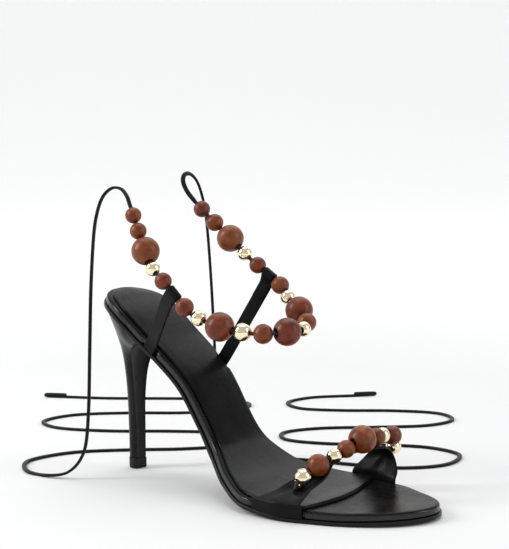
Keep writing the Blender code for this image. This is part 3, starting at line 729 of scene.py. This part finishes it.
def layer_section(rim, crown):
    """Returns a layer's closed section: share across, inset and depth of its points."""
    section = [(0.0, inset, depth) for inset, depth in rim]
    inset, depth = rim[-1]
    for j in range(1, SOLE_COLUMNS):
        v = j / SOLE_COLUMNS
        section.append((v, inset, depth - crown * (4.0 * v * (1.0 - v)) ** 0.6))
    section += [(1.0, inset, depth) for inset, depth in reversed(rim)]
    inset, depth = rim[0]
    section += [(1.0 - j / SOLE_COLUMNS, inset, depth) for j in range(1, SOLE_COLUMNS)]
    return section


def rounded_rim(inset, top, bottom, top_radius, bottom_radius, reach):
    """Returns a layer's rim from its bottom face, round its edge, to its top face."""
    rim = [(inset + reach, bottom)]
    for step in range(5):
        turn = math.pi / 2.0 * step / 4
        rise = bottom_radius * (1.0 - math.cos(turn))
        rim.append((inset + bottom_radius * (1.0 - math.sin(turn)), bottom - rise))
    for step in range(7):
        turn = math.pi / 2.0 * step / 6
        drop = top_radius * (1.0 - math.sin(turn))
        rim.append((inset + top_radius * (1.0 - math.cos(turn)), top + drop))
    rim.append((inset + reach, top))
    return rim


def sole_layer(name, rim, material, drawn_in=False):
    """Sweeps a rim's section round the sole's outline and fills it across."""
    section = layer_section(rim, 0.0)
    points = []
    for i in range(SOLE_ROWS + 1):
        share = (1.0 - math.cos(math.pi * i / SOLE_ROWS)) / 2.0
        for v, inset, depth in section:
            along = inset + (SOLE_LENGTH - 2.0 * inset) * share
            across = across_at(along, v, inset)
            if drawn_in and v in (0.0, 1.0):
                side = -1 if v == 0.0 else 1
                across -= side * recess(along, side) * end_rounding(share)
            points.append(layer_point(along, across, depth))
    faces = loop_faces(SOLE_ROWS + 1, len(section), close=False)
    add_piece(name, points, faces, material)


def sock_rows():
    """Returns how far along each row of the sock starts, before its front is curved."""
    last = SOCK_MEAN_FRONT - 1.0
    rows = [last * (1.0 - math.cos(math.pi / 2.0 * i / SOCK_ROWS)) for i in range(SOCK_ROWS + 1)]
    return rows + [SOCK_MEAN_FRONT - back for back in (0.7, 0.5, 0.32, 0.18, 0.07, 0.0)]


def sock(material):
    """Makes the padded sock: it ends in a rounded edge on the curve under the toes."""
    top, bottom, radius = -GAP - SOCK_THICKNESS, -GAP + 0.1, SOCK_EDGE_RADIUS
    section = layer_section(rounded_rim(SOCK_INSET, top, bottom, radius, 0.1, 3.0), SOCK_CROWN)
    starts = sock_rows()
    points = []
    for start in starts:
        pull = smoothstep(0.6 * SOCK_MEAN_FRONT, SOCK_MEAN_FRONT - 1.0, start)
        back = max(0.0, radius - (SOCK_MEAN_FRONT - start)) / radius
        drop = radius * (1.0 - math.sqrt(1.0 - back**2))
        for v, inset, depth in section:
            begin = inset + start * (SOCK_MEAN_FRONT - inset) / SOCK_MEAN_FRONT
            along = begin
            for _ in range(4):
                across = across_at(along, v, inset)
                along = begin + (smooth_value(SOCK_FRONT, 1, across) - SOCK_MEAN_FRONT) * pull
            crowned = top + (depth - top) * (1.0 - back) if depth < top else depth
            points.append(layer_point(along, across, min(crowned + drop, bottom)))
    add_piece("sock", points, loop_faces(len(starts), len(section)), material)


# Heel

def heel_ring(section, seat=False):
    """Returns one ring of the heel: outer side, round the back, inner side, breast."""
    back, back_height, breast, breast_height, half, corner, hollow = section
    corner = math.radians(corner)
    reach = (breast - back) / (1.0 - math.cos(corner))
    ring = []
    for i in range(2 * HEEL_SIDE_STEPS + 1):
        angle = corner * (1.0 - i / HEEL_SIDE_STEPS)
        ring.append((back + reach * (1.0 - math.cos(angle)), -half * math.sin(angle)))
    last_along, last_across = ring[-1]
    for i in range(1, BREAST_STEPS + 1):
        share = 1.0 - 2.0 * i / (BREAST_STEPS + 1)
        ring.append((last_along - hollow * (1.0 - share**2), last_across * share))
    points = []
    for along, across in ring:
        if seat:
            limit = abs(edge_across(along, -1 if across < 0 else 1, SEAT_INSET))
            if abs(across) > limit or along < HEEL_ROUNDING * SOLE_LENGTH * 1.2:
                across = math.copysign(min(abs(across) + 3.0, limit), across) if across else 0.0
            points.append(layer_point(along, across, EDGE_THICKNESS + GAP))
        else:
            share = (along - back) / (breast - back)
            points.append(place(along, across, back_height + share * (breast_height - back_height)))
    return points


def loft(name, rings, material):
    """Makes a closed piece through rings of points."""
    points = [point for ring in rings for point in ring]
    add_piece(name, points, loop_faces(len(rings), len(rings[0])), material)


def heel(material):
    """Makes the heel as a smooth loft from its tip to the seat below the sole."""
    rings = [heel_ring(section) for section in HEEL_SECTIONS] + [heel_ring(SEAT, seat=True)]
    loft("heel", smooth_between(rings, HEEL_SAMPLES), material)


def heel_tip(material):
    """Makes the wear tip: the heel's lowest section, a little wider, rounded below."""
    back, _, breast, _, half, corner, hollow = HEEL_SECTIONS[0]
    top, flare = HEEL_TIP_HEIGHT, HEEL_TIP_FLARE
    levels = ((0.0, -0.3), (0.12, -0.05), (0.35, 0.14), (0.7, flare))
    levels += ((top - 0.35, flare), (top - 0.1, 0.15), (top, -0.1))
    rings = []
    for height, grow in levels:
        section = (back - grow, height, breast + grow, height, half + grow, corner, hollow)
        rings.append(heel_ring(section))
    loft("heel_tip", rings, material)


# Toe strap

def strap_foot(side, base):
    """Returns the two lowest rows of a toe strap wing, on the sole's edge."""
    rows = []
    for depth in (FOOTBED_THICKNESS, -RIM_RISE):
        row = []
        for j in range(TOE_STRAP_COLUMNS + 1):
            along = base[0] + (base[1] - base[0]) * j / TOE_STRAP_COLUMNS
            across = edge_across(along, side) - side * STRAP_EDGE_INSET
            row.append(layer_point(along, across, depth))
        rows.append(row)
    return rows


def gather(grid, normals, spot, count, depth, reach, side):
    """Presses pleats into the strap that run from the gathering point to its foot."""
    centre = np.array(place(*spot))
    rows, columns = grid.shape[:2]
    for i in range(rows):
        for j in range(columns):
            offset = grid[i, j] - centre
            distance = float(np.linalg.norm(offset))
            turn = math.atan2(offset[0], -offset[2] + abs(offset[1]))
            fade = math.exp(-((distance / (reach * MM)) ** 2)) * smoothstep(0.002, 0.007, distance)
            fade *= smoothstep(-0.006, 0.001, offset[1] * side)
            edge = smoothstep(0.0, 0.4, j / columns) * smoothstep(0.0, 0.4, 1.0 - j / columns)
            wave = math.cos(count * turn + 0.7) + 0.45 * math.cos(1.7 * count * turn + 2.1)
            grid[i, j] += normals[i, j] * wave * depth * MM * fade * edge


def toe_strap(material):
    """Makes the toe strap: one band from edge to edge of the sole, over the toes."""
    rows = strap_foot(-1, TOE_STRAP_BASE)
    for rear_x, rear_y, rear_z, front_x, front_y, front_z, dip in TOE_STRAP_ROWS:
        rear, front = place(rear_x, rear_y, rear_z), place(front_x, front_y, front_z)
        row = []
        for j in range(TOE_STRAP_COLUMNS + 1):
            share = j / TOE_STRAP_COLUMNS
            sink = Vector((0.0, 0.0, dip * MM * 4.0 * share * (1.0 - share)))
            row.append(rear.lerp(front, share) - sink)
        rows.append(row)
    rows += strap_foot(1, TOE_STRAP_FAR_BASE)[::-1]
    grid = soften(np.array(smooth_between(rows, TOE_STRAP_SAMPLES)), TOE_STRAP_ROUNDS)
    normals = -grid_normals(grid)
    for pleats in PLEATS:
        gather(grid, normals, *pleats)
    band("toe_strap", grid, -1.0, material)


# Beads

def read_strand(prefix):
    """Returns the beads of a strand as the frame holds them: centres, radii and bores.

    A bead's own points lie in rings about its bore, so they spread most along it.
    """
    names = sorted(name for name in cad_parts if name.startswith(prefix + "_bead"))
    centres, radii, axes = [], [], []
    for name in names:
        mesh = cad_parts[name].data
        points = np.array([vertex.co[:] for vertex in mesh.vertices])
        points = np.unique(np.round(points, 7), axis=0)
        centre = points.mean(axis=0)
        axes.append(Vector(np.linalg.svd(points - centre)[2][0]))
        centres.append(Vector(centre))
        radii.append(float(np.linalg.norm(points - centre, axis=1).max()))
    for i in range(len(names)):
        onward = centres[min(i + 1, len(names) - 1)] - centres[max(i - 1, 0)]
        axes[i] = agreeing(axes[i], onward)
    return names, centres, radii, axes


def bored_ball(name, bore):
    """Makes a ball of radius 1 with a bore and eased mouths; it keeps its own grain."""
    arc_steps, turns = 28, 48
    ease, lip = 0.045, 0.012
    rim = math.asin(bore + ease)
    profile = []
    for i in range(arc_steps + 1):
        angle = rim + (math.pi - 2.0 * rim) * i / arc_steps
        profile.append((math.sin(angle), math.cos(angle)))
    mouth = math.cos(rim)
    profile += [(bore + lip, -mouth + lip), (bore, -mouth + ease)]
    profile += [(bore, mouth - ease), (bore + lip, mouth - lip)]
    points = []
    for k in range(turns):
        angle = 2.0 * math.pi * k / turns
        points += [(r * math.cos(angle), r * math.sin(angle), z) for r, z in profile]
    count = len(profile)
    faces = loop_faces(turns, count, close=False)
    last = (turns - 1) * count
    for j in range(count):
        k = (j + 1) % count
        faces.append((last + j, last + k, k, j))
    mesh = new_mesh(name, points, faces=faces)
    grain = mesh.attributes.new("grain", "FLOAT_VECTOR", "POINT")
    grain.data.foreach_set("vector", [value for point in points for value in point])
    close_mesh(mesh, 50.0)
    return new_object(name, mesh)


def new_tree(name, inputs):
    """Starts a geometry tree with named inputs; returns it with its two end nodes."""
    tree = bpy.data.node_groups.new(name, "GeometryNodeTree")
    tree.interface.new_socket("Geometry", in_out="INPUT", socket_type="NodeSocketGeometry")
    for label, kind in inputs:
        tree.interface.new_socket(label, in_out="INPUT", socket_type=kind)
    tree.interface.new_socket("Geometry", in_out="OUTPUT", socket_type="NodeSocketGeometry")
    return tree, tree.nodes.new("NodeGroupInput"), tree.nodes.new("NodeGroupOutput")


def run_tree(tree, source, values, name):
    """Evaluates a tree on a source object and returns the result as a plain piece."""
    modifier = source.modifiers.new(tree.name, "NODES")
    modifier.node_group = tree
    for item in tree.interface.items_tree:
        if item.item_type == "SOCKET" and item.in_out == "INPUT" and item.name in values:
            modifier[item.identifier] = values[item.name]
    depsgraph = bpy.context.evaluated_depsgraph_get()
    mesh = bpy.data.meshes.new_from_object(source.evaluated_get(depsgraph))
    mesh.name = name
    source.modifiers.remove(modifier)
    bpy.data.objects.remove(source, do_unlink=True)
    return new_piece(name, mesh)


def end_tree(tree, start, end, geometry):
    """Gives a tree's geometry its material and ends the tree with it."""
    paint = add_node(tree, "GeometryNodeSetMaterial")
    tree.links.new(geometry, paint.inputs["Geometry"])
    tree.links.new(start.outputs["Material"], paint.inputs["Material"])
    tree.links.new(paint.outputs["Geometry"], end.inputs["Geometry"])


def attribute(tree, name, kind="FLOAT_VECTOR"):
    """Returns the value of a named attribute of the tree's geometry."""
    node = add_node(tree, "GeometryNodeInputNamedAttribute", {"Name": name}, data_type=kind)
    return node.outputs["Attribute"]


def bead_tree():
    """Puts a copy of the ball on each point, along its bore, with its own grain."""
    inputs = (("Ball", "NodeSocketObject"), ("Material", "NodeSocketMaterial"))
    inputs += (("Grain scale", "NodeSocketFloat"),)
    tree, start, end = new_tree("beads_on_strand", inputs)
    link = tree.links.new
    ball = add_node(tree, "GeometryNodeObjectInfo")
    link(start.outputs["Ball"], ball.inputs["Object"])
    size = attribute(tree, "size", "FLOAT")
    align = add_node(tree, "FunctionNodeAlignRotationToVector", axis="Z")
    link(attribute(tree, "bore"), align.inputs["Vector"])
    copies = add_node(tree, "GeometryNodeInstanceOnPoints")
    link(start.outputs["Geometry"], copies.inputs["Points"])
    link(ball.outputs["Geometry"], copies.inputs["Instance"])
    link(align.outputs["Rotation"], copies.inputs["Rotation"])
    link(size, copies.inputs["Scale"])
    real = add_node(tree, "GeometryNodeRealizeInstances")
    link(copies.outputs["Instances"], real.inputs["Geometry"])
    per_size = add_node(tree, "ShaderNodeMath", operation="MULTIPLY")
    link(size, per_size.inputs[0])
    link(start.outputs["Grain scale"], per_size.inputs[1])
    sized = add_node(tree, "ShaderNodeVectorMath", operation="SCALE")
    link(attribute(tree, "grain"), sized.inputs[0])
    link(per_size.outputs["Value"], sized.inputs["Scale"])
    moved = add_node(tree, "ShaderNodeVectorMath", operation="ADD")
    link(sized.outputs["Vector"], moved.inputs[0])
    link(attribute(tree, "shift"), moved.inputs[1])
    keep = add_node(tree, "GeometryNodeStoreNamedAttribute", {"Name": "grain"}, data_type="FLOAT_VECTOR")
    link(real.outputs["Geometry"], keep.inputs["Geometry"])
    link(moved.outputs["Vector"], keep.inputs["Value"])
    end_tree(tree, start, end, keep.outputs["Geometry"])
    return tree


def beads(name, chosen, bore, material, seed):
    """Makes all beads of one kind as one piece: chosen holds node, centre, radius, bore."""
    random = np.random.default_rng(seed)
    nodes, centres, radii, axes = zip(*chosen)
    mesh = new_mesh(name + "_points", centres)
    shifts = random.uniform(-GRAIN_SHIFT, GRAIN_SHIFT, 3 * len(chosen))
    tones = random.uniform(TONE_LOW, TONE_HIGH, len(chosen))
    for label, values in (("size", radii), ("tone", tones)):
        mesh.attributes.new(label, "FLOAT", "POINT").data.foreach_set("value", list(values))
    for label, values in (("bore", [value for axis in axes for value in axis]), ("shift", shifts)):
        mesh.attributes.new(label, "FLOAT_VECTOR", "POINT").data.foreach_set("vector", list(values))
    ball = bored_ball(name + "_ball", bore)
    values = {"Ball": ball, "Material": material, "Grain scale": GRAIN_SCALE}
    piece = run_tree(bead_tree(), new_object(name + "_points", mesh), values, name)
    bpy.data.objects.remove(ball, do_unlink=True)
    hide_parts(*nodes)


# Cords

def cord_tree():
    """Sweeps a round section along a path and closes its ends."""
    inputs = (("Radius", "NodeSocketFloat"), ("Material", "NodeSocketMaterial"))
    tree, start, end = new_tree("round_cord", inputs)
    link = tree.links.new
    path = add_node(tree, "GeometryNodeMeshToCurve")
    link(start.outputs["Geometry"], path.inputs["Mesh"])
    section = add_node(tree, "GeometryNodeCurvePrimitiveCircle", {"Resolution": 14})
    link(start.outputs["Radius"], section.inputs["Radius"])
    sweep = add_node(tree, "GeometryNodeCurveToMesh", {"Fill Caps": True})
    link(path.outputs["Curve"], sweep.inputs["Curve"])
    link(section.outputs["Curve"], sweep.inputs["Profile Curve"])
    end_tree(tree, start, end, sweep.outputs["Mesh"])
    return tree


def between(strand, i):
    """Returns where the cord leaves bead i of a strand, and where it enters the next one."""
    _, centres, radii, axes = strand
    return centres[i] + axes[i] * radii[i], centres[i + 1] - axes[i + 1] * radii[i + 1]


def strand_cord(name, strand, loops, first, last, material):
    """Makes the cord that runs straight through each bead of a strand."""
    _, centres, radii, axes = strand
    route = [centres[0] - axes[0] * (radii[0] + CORD_END * MM)]
    for i in range(len(centres) - 1):
        leaving, entering = between(strand, i)
        route += [leaving, entering] if i in loops else [(leaving + entering) / 2.0]
    route.append(centres[-1] + axes[-1] * (radii[-1] + CORD_END * MM))
    route = place_rows(first) + route + place_rows(last)
    mesh = new_mesh(name + "_path", route, [(i, i + 1) for i in range(len(route) - 1)])
    values = {"Radius": CORD_RADIUS * MM, "Material": material}
    piece = run_tree(cord_tree(), new_object(name + "_path", mesh), values, name)
    piece.data.shade_smooth()
    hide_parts(name)


# Ankle straps

def ankle_strap(name, strand, material):
    """Makes one ankle strap: up from the sole's edge and folded round the strand's cord."""
    side, foot_along = ANKLE_FEET[name]
    leaving, entering = between(strand, LOOP_AFTER[name])
    hold_axis = agreeing((entering - leaving).normalized(), Vector((1.0, 0.0, 0.0)))
    hold = (leaving + entering) / 2.0
    half = ANKLE_STRAP_WIDTH / 2.0 * MM
    edge = edge_across(foot_along, side) - side * (STRAP_EDGE_INSET + STRAP_THICKNESS / 2.0)
    foot = layer_point(foot_along, edge, FOOTBED_THICKNESS)
    rim = layer_point(foot_along, edge, -RIM_RISE)
    normal_along, normal_up = top_normal(foot_along)
    sole_axis = Vector((normal_up, 0.0, -normal_along))
    rise = (hold - rim).normalized()
    outward = agreeing(rise.cross(hold_axis).normalized(), Vector((0.0, side, 0.0)))
    climb = agreeing(hold_axis.cross(outward).normalized(), UP)
    radius = LOOP_RADIUS * MM
    start = hold + outward * radius - climb * LOOP_LEAD * MM
    path = [(foot, sole_axis), (foot.lerp(rim, 0.5), sole_axis), (rim, sole_axis)]
    for k in range(1, CLIMB_STEPS + 1):
        share = k / CLIMB_STEPS
        axis = sole_axis.lerp(hold_axis, smoothstep(0.0, 1.0, share)).normalized()
        path.append((rim.lerp(start, share), axis))
    for k in range(LOOP_STEPS + 1):
        angle = math.pi * k / LOOP_STEPS
        path.append((hold + (outward * math.cos(angle) + climb * math.sin(angle)) * radius, hold_axis))
    inner = hold + outward * (LOOP_RADIUS - STRAP_THICKNESS - GAP) * MM
    tail = inner - climb * LOOP_LEAD * MM
    slope = (start - rim).normalized()
    path.append((inner - climb * TAIL_LEAD * MM, hold_axis * 0.9))
    path += [(tail - slope * step * MM, hold_axis * 0.82) for step in (0.2, 3.0, 6.0, TAIL_LENGTH)]
    shares = [share / 5.0 for share in range(-5, 6)]
    rows = [[centre + axis * half * share for share in shares] for centre, axis in path]
    grid = soften(np.array(rows), 1)
    turned = 1.0 if side > 0 else -1.0
    grid += grid_normals(grid) * turned * STRAP_THICKNESS * MM / 2.0
    band(name, grid, turned, material)


# Ties

def lie_flat(point):
    """Lowers a route's point where the tie lies flat on the floor."""
    drop = (TIE_WIDTH - TIE_THICKNESS) / 2.0 * MM
    return point - UP * drop * (1.0 - smoothstep(0.002, 0.012, point.z))


def lace_frames(points):
    """Returns the direction at each point and of the lace's face, turned as little as can be."""
    befores, afters = [points[0], *points[:-1]], [*points[1:], points[-1]]
    ahead = [(after - before).normalized() for before, after in zip(befores, afters)]
    face = UP
    faces = []
    for forward in reversed(ahead):
        face = (face - forward * face.dot(forward)).normalized()
        faces.append(face)
    return ahead, faces[::-1]


def tie(name, fall, curves, mouth, material):
    """Makes a flat leather tie from its bead's mouth to the floor, and its rolled tip."""
    route = [mouth, *place_rows(fall), *place_rows((*row, TIE_FLOOR) for row in curves)]
    points = [lie_flat(Vector(point)) for point in smooth_between(route, TIE_SAMPLES)]
    ahead, faces = lace_frames(points)
    corner = TIE_CORNER * MM
    half_width, half_height = TIE_WIDTH / 2.0 * MM, TIE_THICKNESS / 2.0 * MM
    section = []
    for across, up, first in ((1, 1, 0), (-1, 1, 90), (-1, -1, 180), (1, -1, 270)):
        for step in range(4):
            turn = math.radians(first + 30.0 * step)
            x = across * (half_width - corner) + corner * math.cos(turn)
            section.append((x, up * (half_height - corner) + corner * math.sin(turn)))
    mesh_points = []
    for i, (point, forward, face) in enumerate(zip(points, ahead, faces)):
        beside = forward.cross(face)
        narrowed = TIE_MOUTH_SHARE + (1.0 - TIE_MOUTH_SHARE) * smoothstep(0.0, 20.0, i)
        mesh_points += [point + beside * x * narrowed + face * y for x, y in section]
    piece = add_piece(name, mesh_points, loop_faces(len(points), len(section)), material)
    tip = tie_tip(name + "_tip", points[-1], ahead[-1], material)


def tie_tip(name, end, forward, material):
    """Makes the rolled leather tip: a slim barrel with a seam and a rounded end."""
    levels = ((0.0, 0.5), (0.25, 0.82), (0.9, 0.95), (3.0, 1.0), (11.0, 0.98))
    levels += ((14.0, 0.92), (15.2, 0.76), (15.8, 0.45), (16.0, 0.1))
    forward = Vector((forward.x, forward.y, 0.0)).normalized()
    beside = forward.cross(UP)
    centre = Vector((end.x, end.y, (TIP_RADIUS + 0.1) * MM))
    overlap, around = 0.6, 28
    points = []
    for distance, share in levels:
        for k in range(around):
            turn = 2.0 * math.pi * k / around
            seam = 1.0 - 0.12 * math.exp(-((math.degrees(abs(turn - 1.9)) / 14.0) ** 2))
            offset = (beside * math.cos(turn) + UP * math.sin(turn)) * TIP_RADIUS * share * seam
            points.append(centre + (forward * (distance - overlap) + offset) * MM)
    return add_piece(name, points, loop_faces(len(levels), around), material)


# The whole scene

def build():
    set_camera()
    add_stage()
    set_light()

    nappa = leather("strap_nappa", STRAP_BLACK, 0.36, shine=0.09)
    lace = leather("tie_nappa", PLAIN_BLACK, 0.42, grain=0.3)
    cover = leather("footbed_nappa", FOOTBED_BLACK, 0.25, shine=0.06, edge_shine=0.45)
    heel_skin = leather("heel_nappa", PLAIN_BLACK, 0.27, relief=0.03, shine=0.15)
    padded = leather("sock_nappa", SOCK_BLACK, 0.26, shine=0.085)
    edge_dye = leather("sole_leather", PLAIN_BLACK, 0.3, grain=0.7, shine=0.2)

    outsole_top = FOOTBED_THICKNESS + GAP
    outsole_rim = rounded_rim(0.0, outsole_top, EDGE_THICKNESS, 0.35, 0.45, 2.0)
    sole_layer("outsole", outsole_rim, edge_dye)
    footbed_rim = rounded_rim(FOOTBED_INSET, 0.0, FOOTBED_THICKNESS, 1.3, 0.5, 3.0)
    sole_layer("footbed", footbed_rim, cover, drawn_in=True)
    sock(padded)
    heel(heel_skin)
    heel_tip(hard_rubber())
    toe_strap(nappa)

    ankle = read_strand("ankle_strand")
    toe = read_strand("toe_strand")
    golden = {"ankle_strand_bead_" + n for n in ("04", "07", "09", "12", "15", "18")}
    golden |= {"toe_strand_bead_" + n for n in ("01", "03", "07", "09")}
    rows = list(zip(*ankle)) + list(zip(*toe))
    wood = [row for row in rows if row[0] not in golden]
    gold = [row for row in rows if row[0] in golden]
    beads("wood_beads", wood, WOOD_BORE, turned_wood(), 7)
    beads("gold_beads", gold, GOLD_BORE, polished_gold(), 11)

    wax = waxed_cord()
    strand_cord("ankle_strand_cord", ankle, LOOP_AFTER.values(), (), (), wax)
    strand_cord("toe_strand_cord", toe, (), TOE_CORD_START, TOE_CORD_END, wax)
    for name in ANKLE_FEET:
        ankle_strap(name, ankle, nappa)
    _, centres, radii, axes = ankle
    outer_mouth = centres[0] - axes[0] * (radii[0] - TIE_DEPTH * MM)
    inner_mouth = centres[-1] + axes[-1] * (radii[-1] - TIE_DEPTH * MM)
    tie("tie_outer", OUTER_FALL, OUTER_CURVES, outer_mouth, lace)
    tie("tie_inner", INNER_FALL, INNER_CURVES, inner_mouth, lace)


build()
